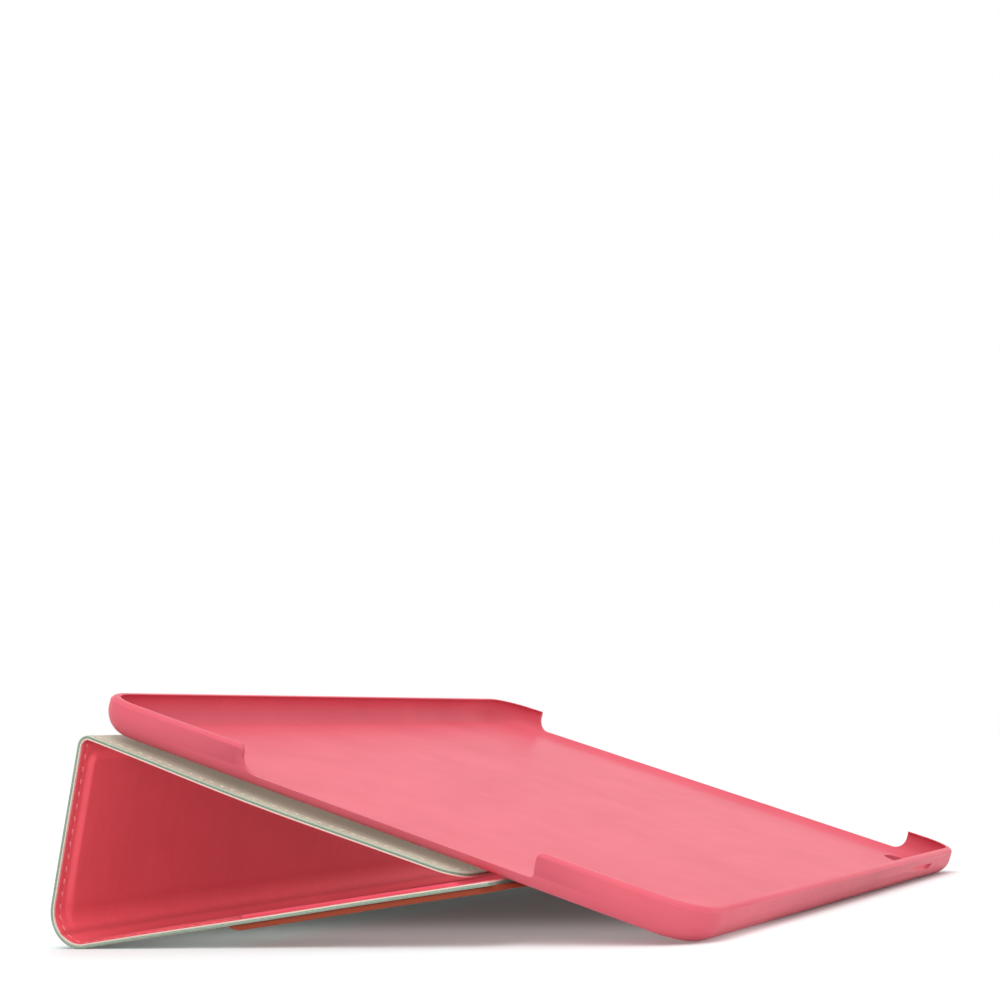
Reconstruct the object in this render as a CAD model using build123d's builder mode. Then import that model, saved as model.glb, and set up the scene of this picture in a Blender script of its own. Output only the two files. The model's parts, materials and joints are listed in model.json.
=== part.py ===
# Folio case for a 9.7-inch-class tablet, standing in its low typing position.
#
# A moulded tray holds the tablet.  A folding cover is hinged to the underside of
# the tray along a line near its front edge.  Behind the tray the cover is folded
# into a three-sided tube that props the tray up: back panel on the table, rounded
# spine, riser, and a flap whose free edge is tucked in between the tray and the
# back panel.
#
# Frame: millimetres, +Z up, +X along the long side of the case.  The origin is the
# middle of the bounding box, at table height.  -X is the charging port end.
# Section directions below are written as (y, z) pairs.
from build123d import *
import math
import os

os.makedirs("parts", exist_ok=True)

# ---------------------------------------------------------------- driving sizes
stand_angle = 19.4          # tilt of the tray against the table, degrees
back_angle = 6.9            # fall of the back panel from the hinge to the spine
riser_lean = 12.45          # riser leans in over the table, from the vertical
y_shift = -81.369         # puts the origin in the middle of the bounding box

# tablet that the tray is made for
tab_l, tab_w, tab_t, tab_r = 240.0, 169.5, 7.5, 10.5

# tray
fit_gap = 0.3               # air round the tablet
wall = 1.3                  # side walls
floor_top = -7.6            # seat of the tablet, below the glass plane
floor_bot = -9.0            # underside
rim_top = 0.35              # rim stands this far over the glass plane
rim_r = 1.2                 # rounding from the rim down to the outside
lip = 0.8                   # rim reaches this far over the tablet's edge
edge_r = 6.0                # rounding along the bottom edge
seat_r = 4.4                # same rounding inside
bay_l, bay_w, bay_r = tab_l + 2 * fit_gap, tab_w + 2 * fit_gap, tab_r + fit_gap
shell_l, shell_w = bay_l + 2 * wall, bay_w + 2 * wall
shell_r = bay_r + wall
pad_t = 0.22                # grip pads stand this far off the walls
pad_top = -0.55
pad_edge_r = 6.6            # fuller rounding, so that the pads don't touch the table

# cover sheet, from outside to inside: skin, interliner, (board), lining
cover_l = 248.0
skin_t, inter_t, board_t, lining_t = 0.75, 0.35, 1.2, 0.15
back_board_t = 0.6          # thinner board in the back panel
sheet_t = skin_t + inter_t + lining_t
z_inter = skin_t
z_board = skin_t + inter_t
z_lining = skin_t + inter_t
board_inset = 6.0           # boards stop this far from the cover's ends
spine_r = 9.0               # outside radius of the spine
fold_r = 3.0                # outside radius of the flap's fold
band_t = 1.45               # hinge band
seam_inset = 2.4            # seam from the cover's ends
thread_w, thread_t = 0.5, 0.22

# ---------------------------------------------------------------- frames
sa, ca = math.sin(math.radians(stand_angle)), math.cos(math.radians(stand_angle))
sb, cb = math.sin(math.radians(back_angle)), math.cos(math.radians(back_angle))
sr, cr = math.sin(math.radians(riser_lean)), math.cos(math.radians(riser_lean))

# The tray touches the table with the rounding of its front bottom edge.  In tray
# coordinates v runs up the slope from the tablet's front edge and w is the height
# over the glass plane.
v_touch = (-fit_gap - wall + edge_r) - edge_r * sa
w_touch = (floor_bot + edge_r) - edge_r * ca


def tray_yz(v, w):
    """Section point (y, z) of tray coordinates (v, w)."""
    dv, dw = v - v_touch, w - w_touch
    return (y_shift + dv * ca - dw * sa, dv * sa + dw * ca)


def section_plane(point, direction, x=0.0):
    """Plane whose x runs along the case, y along direction, z to its left side."""
    return Plane(origin=(x, point[0], point[1]), x_dir=(1, 0, 0),
                 z_dir=(0, -direction[1], direction[0]))


yc, zc = tray_yz(tab_w / 2, 0)
tray = section_plane((yc, zc), (ca, sa))               # centre of the glass plane
tray_end = Plane(origin=(-shell_l / 2 - 6, yc, zc), x_dir=(0, ca, sa), z_dir=(1, 0, 0))
tray_side = Plane(origin=(0, yc, zc), x_dir=(1, 0, 0), z_dir=(0, -ca, -sa))

# spine: a round bend resting on the table
spine_c = (y_shift + 160.36, spine_r)
back_end = (spine_c[0] - spine_r * sb, spine_c[1] - spine_r * cb)    # back panel | spine
riser_start = (spine_c[0] + spine_r * cr, spine_c[1] + spine_r * sr)  # spine | riser

# hinge line: the band's middle surface meets the anchor strip's middle surface
strip_mid = floor_bot - 0.15 - 0.4
p0 = tray_yz(0, strip_mid)
# along the tray: p0 + s (ca, sa); along the band: back_end + k (-cb, sb) - 0.6 (sb, cb)
q0 = (back_end[0] - band_t / 2 * sb, back_end[1] - band_t / 2 * cb)
den = ca * sb + cb * sa
s_hinge = ((q0[0] - p0[0]) * sb + (q0[1] - p0[1]) * cb) / den
hinge = (p0[0] + s_hinge * ca, p0[1] + s_hinge * sa)
v_hinge = s_hinge

# back panel: y = 0 at the hinge, growing towards the spine; z into the tube
back_dir = (cb, -sb)
back_o = (hinge[0] + band_t / 2 * sb, hinge[1] + band_t / 2 * cb)
back_l = math.dist(back_o, back_end)
back = section_plane(back_o, back_dir)

# flap: its skin faces the underside of the tray
flap_gap = 1.1
f0 = tray_yz(0, floor_bot - flap_gap)
# fold centre: fold_r inside both the riser's and the flap's outer surfaces
a0 = riser_start
# riser line: a0 + t (-sr, cr); flap line: f0 + k (ca, sa); both offset inwards
an = (a0[0] - fold_r * cr, a0[1] - fold_r * sr)
fn = (f0[0] + fold_r * sa, f0[1] - fold_r * ca)
t_fold = ((fn[0] - an[0]) * sa - (fn[1] - an[1]) * ca) / (-sr * sa - cr * ca)
fold_c = (an[0] - t_fold * sr, an[1] + t_fold * cr)
riser_end = (fold_c[0] + fold_r * cr, fold_c[1] + fold_r * sr)
flap_start = (fold_c[0] - fold_r * sa, fold_c[1] + fold_r * ca)
riser_l = t_fold
riser = section_plane(riser_start, (-sr, cr))
flap = section_plane(flap_start, (-ca, -sa))
free_v = 57.0                                        # free edge of the flap
free_pt = tray_yz(free_v, floor_bot - flap_gap)
flap_l = math.dist(flap_start, free_pt)
flap_corner = 7.0

# the sheet of the back panel starts where it clears the underside of the tray
inner_gap = 0.35
v_a = tray_yz(0, floor_bot - inner_gap)
n_b = (back_o[0] + sheet_t * sb, back_o[1] + sheet_t * cb)
# n_b + k (cb, -sb) = v_a + s (ca, sa)
k_in = ((v_a[0] - n_b[0]) * sa - (v_a[1] - n_b[1]) * ca) / (cb * sa + sb * ca)
sheet_start = k_in


def back_y_of_v(v):
    """Distance from the hinge along the back panel, straight under tray position v."""
    py, pz = tray_yz(v, floor_bot - 3)
    return (py - back_o[0]) * cb - (pz - back_o[1]) * sb


band_end = 75.0
stop_a, stop_b = back_y_of_v(59.0), 73.4

# ---------------------------------------------------------------- tray
# room for the tablet: full size up to the glass plane, then the narrower mouth
with BuildPart() as bay:
    with BuildSketch(tray.offset(floor_top)):
        RectangleRounded(bay_l, bay_w, bay_r)
    extrude(amount=-floor_top)
    fillet(bay.faces().sort_by(Axis((0, 0, 0), tuple(tray.z_dir)))[0].edges(), seat_r)
    with BuildSketch(tray.offset(-0.01)):
        RectangleRounded(bay_l - 2 * lip, bay_w - 2 * lip, bay_r - lip)
    extrude(amount=3)

# opening in the port end: speakers and charging port
with BuildPart() as port_notch:
    with BuildSketch(tray_end) as notch_sk:
        with BuildLine():
            pts = [(35.0, 3.0), (35.0, rim_top + 0.01), (40.9, rim_top + 0.01), (40.35, -6.0),
                   (124.2, -6.0), (123.6, rim_top + 0.01), (131.0, rim_top + 0.01), (131.0, 3.0)]
            Polyline(*[(a - tab_w / 2, b) for a, b in pts], close=True)
        make_face()
        vs = notch_sk.vertices().sort_by(Axis.Y)
    extrude(amount=12)
    along_x = port_notch.edges().filter_by(Axis.X)

    def notch_edge(v, w):
        py, pz = tray_yz(v, w)
        return min(along_x, key=lambda e: (e.center().Y - py) ** 2 + (e.center().Z - pz) ** 2)

    fillet(notch_edge(124.2, -6.0), 5.0)
    along_x = port_notch.edges().filter_by(Axis.X)
    fillet(notch_edge(40.35, -6.0), 1.2)
    along_x = port_notch.edges().filter_by(Axis.X)
    fillet(notch_edge(40.9, rim_top), 1.8)
    along_x = port_notch.edges().filter_by(Axis.X)
    fillet(notch_edge(123.6, rim_top), 2.0)

# opening in the other end: headphone socket, microphone and power key
with BuildPart() as top_notch:
    with BuildSketch(Plane(origin=(shell_l / 2 - 7.4, yc, zc), x_dir=(0, ca, sa), z_dir=(1, 0, 0))):
        with Locations((0, 0)):
            Rectangle(138.0, 12.0)
    extrude(amount=14)
    along_x = top_notch.edges().filter_by(Axis.X)
    low = [e for e in along_x if (e.center() - tray.origin).dot(tray.z_dir) < -3]
    fillet(low, 4.0)

# outer body of the grip pads, a little larger than the tray
with BuildPart() as pad_body:
    with BuildSketch(tray.offset(floor_bot)):
        RectangleRounded(shell_l + 2 * pad_t, shell_w + 2 * pad_t, shell_r + pad_t)
    extrude(amount=pad_top - floor_bot)
    fillet(pad_body.faces().sort_by(Axis((0, 0, 0), tuple(tray.z_dir)))[0].edges(), pad_edge_r)
    fillet(pad_body.faces().sort_by(Axis((0, 0, 0), tuple(tray.z_dir)))[-1].edges(), 0.21)
    # keep the pads off the surroundings of the openings
    with BuildSketch(tray.offset(floor_bot - 1)):
        with Locations((-shell_l / 2, (38.9 + 125.6) / 2 - tab_w / 2)):
            Rectangle(30.0, 125.6 - 38.9)
        with Locations((shell_l / 2, 0)):
            Rectangle(30.0, 138.0 + 5.0)
        with Locations((72.0, -shell_w / 2)):
            Rectangle(100.0, 20.0)
        with Locations((0, 0)):
            Rectangle(shell_l - 16, shell_w - 16)
    extrude(amount=14, mode=Mode.SUBTRACT)

with BuildPart() as shell:
    with BuildSketch(tray.offset(floor_bot)):
        RectangleRounded(shell_l, shell_w, shell_r)
    extrude(amount=rim_top - floor_bot)
    fillet(shell.faces().sort_by(Axis((0, 0, 0), tuple(tray.z_dir)))[0].edges(), edge_r)
    fillet(shell.faces().sort_by(Axis((0, 0, 0), tuple(tray.z_dir)))[-1].edges(), rim_r)
    add(pad_body.part)
    add(bay.part, mode=Mode.SUBTRACT)
    add(port_notch.part, mode=Mode.SUBTRACT)
    add(top_notch.part, mode=Mode.SUBTRACT)
    # slot for the volume keys, in the front wall near the far end
    with BuildSketch(tray_side.offset(shell_w / 2 - 5)):
        with BuildLine():
            Polyline((61.5, -4.0), (62.6, -3.2), (64.2, -2.65), (66.5, -2.4), (86.3, -2.5),
                     (82.9, -4.15), close=True)
        make_face()
    extrude(amount=9, mode=Mode.SUBTRACT)
    # shallow relief along the front bottom edge below the volume keys
    with BuildSketch(Plane(origin=(0, y_shift + 7, 0), x_dir=(1, 0, 0), z_dir=(0, -1, 0))):
        with BuildLine():
            scoop = Spline((62.0, 0.0), (68.0, 0.35), (75.0, 0.95), (82.0, 0.95), (89.0, 0.35), (96.0, 0.0),
                           tangents=((1, 0), (1, 0)))
            Polyline(scoop @ 1, (96.0, -2.0), (62.0, -2.0), scoop @ 0)
        make_face()
    extrude(amount=12, mode=Mode.SUBTRACT)
    # camera window in the floor, in the far front corner
    with BuildSketch(tray.offset(floor_bot - 1)):
        with Locations((227.0 - tab_l / 2, 12.5 - tab_w / 2)):
            Circle(5.5)
    extrude(amount=3.5, mode=Mode.SUBTRACT)
shell.part.label = "shell"

# ---------------------------------------------------------------- hinge
strip_w = 24.0
strip_gap = 3.6             # free width of the fold beside the hinge line
strip_v = v_hinge - strip_gap - strip_w / 2

with BuildPart() as anchor_tape:
    with BuildSketch(tray.offset(floor_bot)):
        with Locations((0, strip_v - tab_w / 2)):
            Rectangle(214.0, strip_w - 2.0)
    extrude(amount=-0.15)
anchor_tape.part.label = "anchor_tape"

with BuildPart() as anchor_strip:
    with BuildSketch(tray.offset(floor_bot - 0.15)):
        with Locations((0, strip_v - tab_w / 2)):
            RectangleRounded(216.0, strip_w, 1.5)
    extrude(amount=-0.8)
anchor_strip.part.label = "anchor_strip"

# reinforcing band on the outside of the back panel, skived down to the hinge line
band_x = (cover_l - 1.0) / 2
band_plane = Plane(origin=(-band_x, back_o[0], back_o[1]), x_dir=(0, cb, -sb), z_dir=(1, 0, 0))
with BuildPart() as hinge_band:
    with BuildSketch(band_plane):
        with BuildLine():
            m = -band_t / 2
            Polyline((band_end - 3.5, -band_t), (3.0, -band_t), (-0.1, m - 0.4), (-0.35, m - 0.2),
                     (-0.35, m + 0.2), (-0.1, m + 0.4), (3.0, 0), (band_end, 0))
            EllipticalCenterArc((band_end - 3.5, 0), 3.5, band_t, start_angle=-90, arc_size=90)
        make_face()
    extrude(amount=2 * band_x)
hinge_band.part.label = "hinge_band"

# ---------------------------------------------------------------- back panel
bp_mid = (sheet_start + back_l) / 2
bp_len = back_l - sheet_start
bb_a, bb_b = stop_b + 5.0, back_l - 5.0             # board of the rear half

with BuildPart() as back_skin:
    with BuildSketch(back):
        with Locations((0, bp_mid)):
            Rectangle(cover_l, bp_len)
    extrude(amount=skin_t)
back_skin.part.label = "back_skin"

with BuildPart() as back_interliner:
    with BuildSketch(back.offset(z_inter)):
        with Locations((0, bp_mid)):
            Rectangle(cover_l, bp_len)
    extrude(amount=inter_t)
back_interliner.part.label = "back_interliner"

with BuildPart() as back_board:
    with BuildSketch(back.offset(z_board)):
        with Locations((0, (bb_a + bb_b) / 2)):
            RectangleRounded(cover_l - 2 * board_inset, bb_b - bb_a, 3)
    extrude(amount=back_board_t)
back_board.part.label = "back_board"

with BuildPart() as back_lining:
    with BuildSketch(back.offset(z_lining)):
        with Locations((0, bp_mid)):
            Rectangle(cover_l, bp_len)
    extrude(amount=lining_t)
    with BuildSketch(back.offset(z_lining)):
        with Locations((0, (bb_a + bb_b) / 2)):
            RectangleRounded(cover_l - 2 * board_inset + 1, bb_b - bb_a + 1, 3.5)
    extrude(amount=lining_t + back_board_t)
    with BuildSketch(back.offset(z_board)):
        with Locations((0, (bb_a + bb_b) / 2)):
            RectangleRounded(cover_l - 2 * board_inset, bb_b - bb_a, 3)
    extrude(amount=back_board_t, mode=Mode.SUBTRACT)
back_lining.part.label = "back_lining"

# stop plate on the lining: the flap's free edge lies in front of its edge
with BuildPart() as stop_plate:
    with BuildSketch(back.offset(sheet_t)):
        with Locations((0, (stop_a + stop_b) / 2)):
            RectangleRounded(cover_l - 2.4, stop_b - stop_a, 2.5)
    extrude(amount=0.9)
    fillet(stop_plate.faces().sort_by(Axis.Z)[-1].edges(), 0.4)
stop_plate.part.label = "stop_plate"

with BuildPart() as back_stitching:
    with BuildSketch(back.offset(sheet_t)):
        for sx in (-1, 1):
            with Locations((sx * (cover_l / 2 - seam_inset), (stop_b + 2 + back_l) / 2)):
                Rectangle(thread_w, back_l - stop_b - 2)
    extrude(amount=thread_t)
back_stitching.part.label = "back_stitching"

# ---------------------------------------------------------------- spine
# the same layers, bent; angles run from the back panel's normal to the riser's
arc_from = -90.0 - back_angle
arc_to = riser_lean
bend_plane = Plane(origin=(-cover_l / 2, spine_c[0], spine_c[1]), x_dir=(0, 1, 0), z_dir=(1, 0, 0))


def ring_sector(r_out, r_in, a0, a1):
    """Face between two radii and two angles, round the sketch's origin."""
    c0, s0 = math.cos(math.radians(a0)), math.sin(math.radians(a0))
    c1, s1 = math.cos(math.radians(a1)), math.sin(math.radians(a1))
    with BuildSketch() as sector:
        with BuildLine():
            CenterArc((0, 0), r_out, a0, a1 - a0)
            CenterArc((0, 0), r_in, a0, a1 - a0)
            Line((r_in * c0, r_in * s0), (r_out * c0, r_out * s0))
            Line((r_in * c1, r_in * s1), (r_out * c1, r_out * s1))
        make_face()
    return sector.sketch


with BuildPart() as spine_skin:
    with BuildSketch(bend_plane):
        add(ring_sector(spine_r, spine_r - skin_t, arc_from, arc_to))
    extrude(amount=cover_l)
spine_skin.part.label = "spine_skin"

with BuildPart() as spine_interliner:
    with BuildSketch(bend_plane):
        add(ring_sector(spine_r - z_inter, spine_r - z_board, arc_from, arc_to))
    extrude(amount=cover_l)
spine_interliner.part.label = "spine_interliner"

with BuildPart() as spine_lining:
    with BuildSketch(bend_plane):
        add(ring_sector(spine_r - z_lining, spine_r - sheet_t, arc_from, arc_to))
    extrude(amount=cover_l)
spine_lining.part.label = "spine_lining"

with BuildPart() as spine_stitching:
    with BuildSketch(bend_plane.offset(seam_inset - thread_w / 2)):
        add(ring_sector(spine_r - sheet_t, spine_r - sheet_t - thread_t, arc_from, arc_to))
    extrude(amount=thread_w)
    with BuildSketch(bend_plane.offset(cover_l - seam_inset - thread_w / 2)):
        add(ring_sector(spine_r - sheet_t, spine_r - sheet_t - thread_t, arc_from, arc_to))
    extrude(amount=thread_w)
spine_stitching.part.label = "spine_stitching"

# ---------------------------------------------------------------- riser
rb_a, rb_b = 3.0, riser_l - 4.0                      # board

with BuildPart() as riser_skin:
    with BuildSketch(riser):
        with Locations((0, riser_l / 2)):
            Rectangle(cover_l, riser_l)
    extrude(amount=skin_t)
riser_skin.part.label = "riser_skin"

with BuildPart() as riser_interliner:
    with BuildSketch(riser.offset(z_inter)):
        with Locations((0, riser_l / 2)):
            Rectangle(cover_l, riser_l)
    extrude(amount=inter_t)
riser_interliner.part.label = "riser_interliner"

with BuildPart() as riser_board:
    with BuildSketch(riser.offset(z_board)):
        with Locations((0, (rb_a + rb_b) / 2)):
            RectangleRounded(cover_l - 2 * board_inset, rb_b - rb_a, 3)
    extrude(amount=board_t)
riser_board.part.label = "riser_board"

with BuildPart() as riser_lining:
    with BuildSketch(riser.offset(z_lining)):
        with Locations((0, riser_l / 2)):
            Rectangle(cover_l, riser_l)
    extrude(amount=lining_t)
    with BuildSketch(riser.offset(z_lining)):
        with Locations((0, (rb_a + rb_b) / 2)):
            RectangleRounded(cover_l - 2 * board_inset + 1, rb_b - rb_a + 1, 3.5)
    extrude(amount=lining_t + board_t)
    with BuildSketch(riser.offset(z_board)):
        with Locations((0, (rb_a + rb_b) / 2)):
            RectangleRounded(cover_l - 2 * board_inset, rb_b - rb_a, 3)
    extrude(amount=board_t, mode=Mode.SUBTRACT)
riser_lining.part.label = "riser_lining"

with BuildPart() as riser_stitching:
    with BuildSketch(riser.offset(sheet_t)):
        for sx in (-1, 1):
            with Locations((sx * (cover_l / 2 - seam_inset), riser_l / 2)):
                Rectangle(thread_w, riser_l)
    extrude(amount=thread_t)
riser_stitching.part.label = "riser_stitching"

# ---------------------------------------------------------------- flap
# the round of the fold belongs to the flap; the free corners are rounded
fold_plane = Plane(origin=(-cover_l / 2, fold_c[0], fold_c[1]), x_dir=(0, 1, 0), z_dir=(1, 0, 0))
fold_from = riser_lean
fold_to = 90.0 + stand_angle
fb_a, fb_b = 5.0, flap_l - 9.0                       # board


# flap in plan: square at the fold, rounded at the free corners
with BuildSketch() as flap_plan:
    with BuildLine():
        h, r = cover_l / 2, flap_corner
        Polyline((-h, flap_l - r), (-h, 0), (h, 0), (h, flap_l - r))
        Line((h - r, flap_l), (-h + r, flap_l))
        CenterArc((h - r, flap_l - r), r, 0, 90)
        CenterArc((-h + r, flap_l - r), r, 90, 90)
    make_face()

with BuildPart() as flap_skin:
    with BuildSketch(flap):
        add(flap_plan.sketch)
    extrude(amount=skin_t)
    with BuildSketch(fold_plane):
        add(ring_sector(fold_r, fold_r - skin_t, fold_from + 1.5, fold_to))
    extrude(amount=cover_l)
flap_skin.part.label = "flap_skin"

with BuildPart() as flap_interliner:
    with BuildSketch(flap.offset(z_inter)):
        add(flap_plan.sketch)
    extrude(amount=inter_t)
    with BuildSketch(fold_plane):
        add(ring_sector(fold_r - z_inter, fold_r - z_board, fold_from + 1.5, fold_to))
    extrude(amount=cover_l)
flap_interliner.part.label = "flap_interliner"

magnet_x = [-96.0, -72.0, 72.0, 96.0]
magnet_y = flap_l - 15.0

with BuildPart() as flap_magnets:
    with BuildSketch(flap.offset(z_board + 0.1)):
        with Locations(*[(mx, magnet_y) for mx in magnet_x]):
            Rectangle(14.0, 5.0)
    extrude(amount=1.0)
flap_magnets.part.label = "flap_magnets"

with BuildPart() as flap_board:
    with BuildSketch(flap.offset(z_board)):
        with Locations((0, (fb_a + fb_b) / 2)):
            RectangleRounded(cover_l - 2 * board_inset, fb_b - fb_a, 3)
    extrude(amount=board_t)
    with BuildSketch(flap.offset(z_board + 0.1)):
        with Locations(*[(mx, magnet_y) for mx in magnet_x]):
            Rectangle(14.0, 5.0)
    extrude(amount=board_t, mode=Mode.SUBTRACT)
flap_board.part.label = "flap_board"

with BuildPart() as flap_lining:
    with BuildSketch(flap.offset(z_lining)):
        add(flap_plan.sketch)
    extrude(amount=lining_t)
    with BuildSketch(flap.offset(z_lining)):
        with Locations((0, (fb_a + fb_b) / 2)):
            RectangleRounded(cover_l - 2 * board_inset + 1, fb_b - fb_a + 1, 3.5)
    extrude(amount=lining_t + board_t)
    with BuildSketch(flap.offset(z_board)):
        with Locations((0, (fb_a + fb_b) / 2)):
            RectangleRounded(cover_l - 2 * board_inset, fb_b - fb_a, 3)
    extrude(amount=board_t, mode=Mode.SUBTRACT)
    with BuildSketch(fold_plane):
        add(ring_sector(fold_r - z_lining, fold_r - sheet_t, fold_from + 1.5, fold_to))
    extrude(amount=cover_l)
flap_lining.part.label = "flap_lining"

with BuildPart() as flap_stitching:
    with BuildSketch(flap.offset(sheet_t)):
        h = cover_l / 2 - seam_inset
        with Locations((-h, (2.0 + flap_l - seam_inset) / 2), (h, (2.0 + flap_l - seam_inset) / 2)):
            Rectangle(thread_w, flap_l - seam_inset - 2.0)
        with Locations((0, flap_l - seam_inset)):
            Rectangle(2 * h + thread_w, thread_w)
    extrude(amount=thread_t)
flap_stitching.part.label = "flap_stitching"

# ---------------------------------------------------------------- export
pieces = [shell, anchor_tape, anchor_strip, hinge_band,
          back_skin, back_interliner, back_board, back_lining, stop_plate, back_stitching,
          spine_skin, spine_interliner, spine_lining, spine_stitching,
          riser_skin, riser_interliner, riser_board, riser_lining, riser_stitching,
          flap_skin, flap_interliner, flap_magnets, flap_board, flap_lining, flap_stitching]
for piece in pieces:
    export_step(piece.part, f"parts/{piece.part.label}.step")

boxes = [piece.part.bounding_box() for piece in pieces]
print("box x %.3f %.3f  y %.3f %.3f  z %.3f %.3f" % (
    min(b.min.X for b in boxes), max(b.max.X for b in boxes),
    min(b.min.Y for b in boxes), max(b.max.Y for b in boxes),
    min(b.min.Z for b in boxes), max(b.max.Z for b in boxes)))
print("hinge", hinge, "v", v_hinge, "band start", back_o, "band end y", band_end)
print("back_end", back_end, "back_l", back_l, "sheet_start", sheet_start)
print("spine_c", spine_c, "riser_start", riser_start, "riser_l", riser_l, "riser_end", riser_end)
print("fold_c", fold_c, "flap_start", flap_start, "flap_l", flap_l, "free", free_pt)
print("tray origin", tuple(tray.origin), "touch", v_touch, w_touch)
print("stop", stop_a, stop_b)
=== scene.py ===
import bpy
import json
import math
import random
import numpy as np
from mathutils import Matrix, Vector

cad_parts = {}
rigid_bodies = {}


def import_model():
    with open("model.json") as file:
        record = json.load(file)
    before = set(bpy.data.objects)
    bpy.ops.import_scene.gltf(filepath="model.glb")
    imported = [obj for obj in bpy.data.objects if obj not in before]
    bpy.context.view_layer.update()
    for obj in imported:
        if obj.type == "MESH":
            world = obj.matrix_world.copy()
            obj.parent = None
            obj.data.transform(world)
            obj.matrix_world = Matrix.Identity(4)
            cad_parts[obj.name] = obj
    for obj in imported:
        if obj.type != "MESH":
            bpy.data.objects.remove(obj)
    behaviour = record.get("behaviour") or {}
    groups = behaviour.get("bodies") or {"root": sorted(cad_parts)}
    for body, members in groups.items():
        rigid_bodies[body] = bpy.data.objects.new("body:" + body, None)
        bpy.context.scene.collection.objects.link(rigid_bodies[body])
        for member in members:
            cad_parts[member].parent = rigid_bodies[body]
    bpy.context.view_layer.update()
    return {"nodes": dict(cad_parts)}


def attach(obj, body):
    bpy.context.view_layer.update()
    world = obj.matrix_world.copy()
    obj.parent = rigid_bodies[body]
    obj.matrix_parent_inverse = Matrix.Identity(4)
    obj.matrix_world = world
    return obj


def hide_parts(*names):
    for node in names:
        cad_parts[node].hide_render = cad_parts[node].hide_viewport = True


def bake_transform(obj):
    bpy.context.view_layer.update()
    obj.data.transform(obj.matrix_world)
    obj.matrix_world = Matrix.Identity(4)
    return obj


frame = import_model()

scene = bpy.context.scene
MM = 0.001

# ------------------------------------------------------------------ camera
cam_data = bpy.data.cameras.new("camera")
cam_data.sensor_width = 36.0
cam_data.lens = 73.64
cam_data.clip_start, cam_data.clip_end = 0.01, 300.0
cam = bpy.data.objects.new("camera", cam_data)
scene.collection.objects.link(cam)
cam.matrix_world = Matrix((
    (0.43076524, -0.09376288, -0.89757999, -0.55224444),
    (-0.90132085, -0.09474347, -0.42266347, -0.24551599),
    (-0.0454097, 0.99107628, -0.12532263, 0.04273772),
    (0, 0, 0, 1)))
scene.camera = cam

# ------------------------------------------------------------------ geometry of the case, mm
stand_angle, back_angle, riser_lean = 19.4, 6.9, 12.45
y_shift = -81.369
tab_l, tab_w, tab_t, tab_r = 240.0, 169.5, 7.5, 10.5
fit_gap, wall = 0.3, 1.3
floor_top, floor_bot, rim_top, lip = -7.6, -9.0, 0.35, 0.8
edge_r, seat_r = 6.0, 4.4
bay_l, bay_w, bay_r = tab_l + 2 * fit_gap, tab_w + 2 * fit_gap, tab_r + fit_gap
shell_l, shell_w, shell_r = bay_l + 2 * wall, bay_w + 2 * wall, bay_r + wall
cover_h = 124.0
skin_t, inter_t, board_t, lining_t = 0.75, 0.35, 1.2, 0.15
back_board_t = 0.6
sheet_t = skin_t + inter_t + lining_t
board_inset, seam_inset = 6.0, 2.4
spine_r, fold_r, band_t = 9.0, 3.0, 1.45
flap_corner = 7.0


def cs(a):
    return math.cos(math.radians(a)), math.sin(math.radians(a))


ca, sa = cs(stand_angle)
cb, sb = cs(back_angle)
cr, sr = cs(riser_lean)
v_touch = (-fit_gap - wall + edge_r) - edge_r * sa
w_touch = (floor_bot + edge_r) - edge_r * ca


def tray_yz(v, w):
    dv, dw = v - v_touch, w - w_touch
    return np.array((y_shift + dv * ca - dw * sa, dv * sa + dw * ca))


hinge = np.array((-40.04333020, 13.60878802))
back_o = np.array((-39.95623093, 14.32853709))
back_l = 118.72589047
sheet_start = 3.5447141
spine_c = np.array((78.991, 9.0))
riser_start = np.array((87.77936063, 10.94028797))
riser_l = 41.36565966
riser_end = np.array((78.86143930, 51.33321407))
fold_c = np.array((75.93198576, 50.68645141))
flap_start = np.array((74.93550236, 53.51611939))
flap_l = 110.61295616
band_end, stop_a, stop_b = 75.0, 12.8235334, 73.4

arc1 = math.radians(90 + back_angle + riser_lean) * spine_r
arc2 = math.radians(90 + stand_angle - riser_lean) * fold_r
S1 = back_l
S2 = S1 + arc1
S3 = S2 + riser_l
S4 = S3 + arc2
S5 = S4 + flap_l


def settle(s):
    """The riser leans in a little at its top, and takes the fold and the flap with it, mm."""
    if s <= S2:
        f = 0.0
    elif s <= S3:
        f = ((s - S2) / riser_l) ** 2
    elif s < S4:
        f = 1.0
    else:
        f = max(0.0, 1 - (s - S4) / flap_l) ** 2
    return f * np.array((-0.30, -0.30))


def section(s):
    """Outer surface point and inward normal of the cover at path length s (mm)."""
    if s <= S1:
        return back_o + s * np.array((cb, -sb)), np.array((sb, cb))
    if s < S2:
        a = math.radians(-90 - back_angle) + (s - S1) / spine_r
        n = np.array((math.cos(a), math.sin(a)))
        return spine_c + spine_r * n, -n
    if s <= S3:
        return riser_start + (s - S2) * np.array((-sr, cr)) + settle(s), np.array((-cr, -sr))
    if s < S4:
        a = math.radians(riser_lean) + (s - S3) / fold_r
        n = np.array((math.cos(a), math.sin(a)))
        return fold_c + fold_r * n + settle(s), -n
    t = (s - S4) / flap_l               # the flap hangs a little between fold and free edge
    sag = 0.80 * math.sin(math.pi * min(1.0, t)) ** 1.3 + 0.2 * t if t < 1 else 0.2
    return flap_start + (s - S4) * np.array((-ca, -sa)) + sag * np.array((sa, -ca)) + settle(s), np.array((sa, -ca))


def half_width(s):
    d = s - (S5 - flap_corner)
    if d <= 0:
        return cover_h
    return cover_h - flap_corner + math.sqrt(max(0.0, flap_corner ** 2 - d * d))


def step(t):
    t = np.clip(t, 0, 1)
    return t * t * t * (t * (6 * t - 15) + 10)


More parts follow.
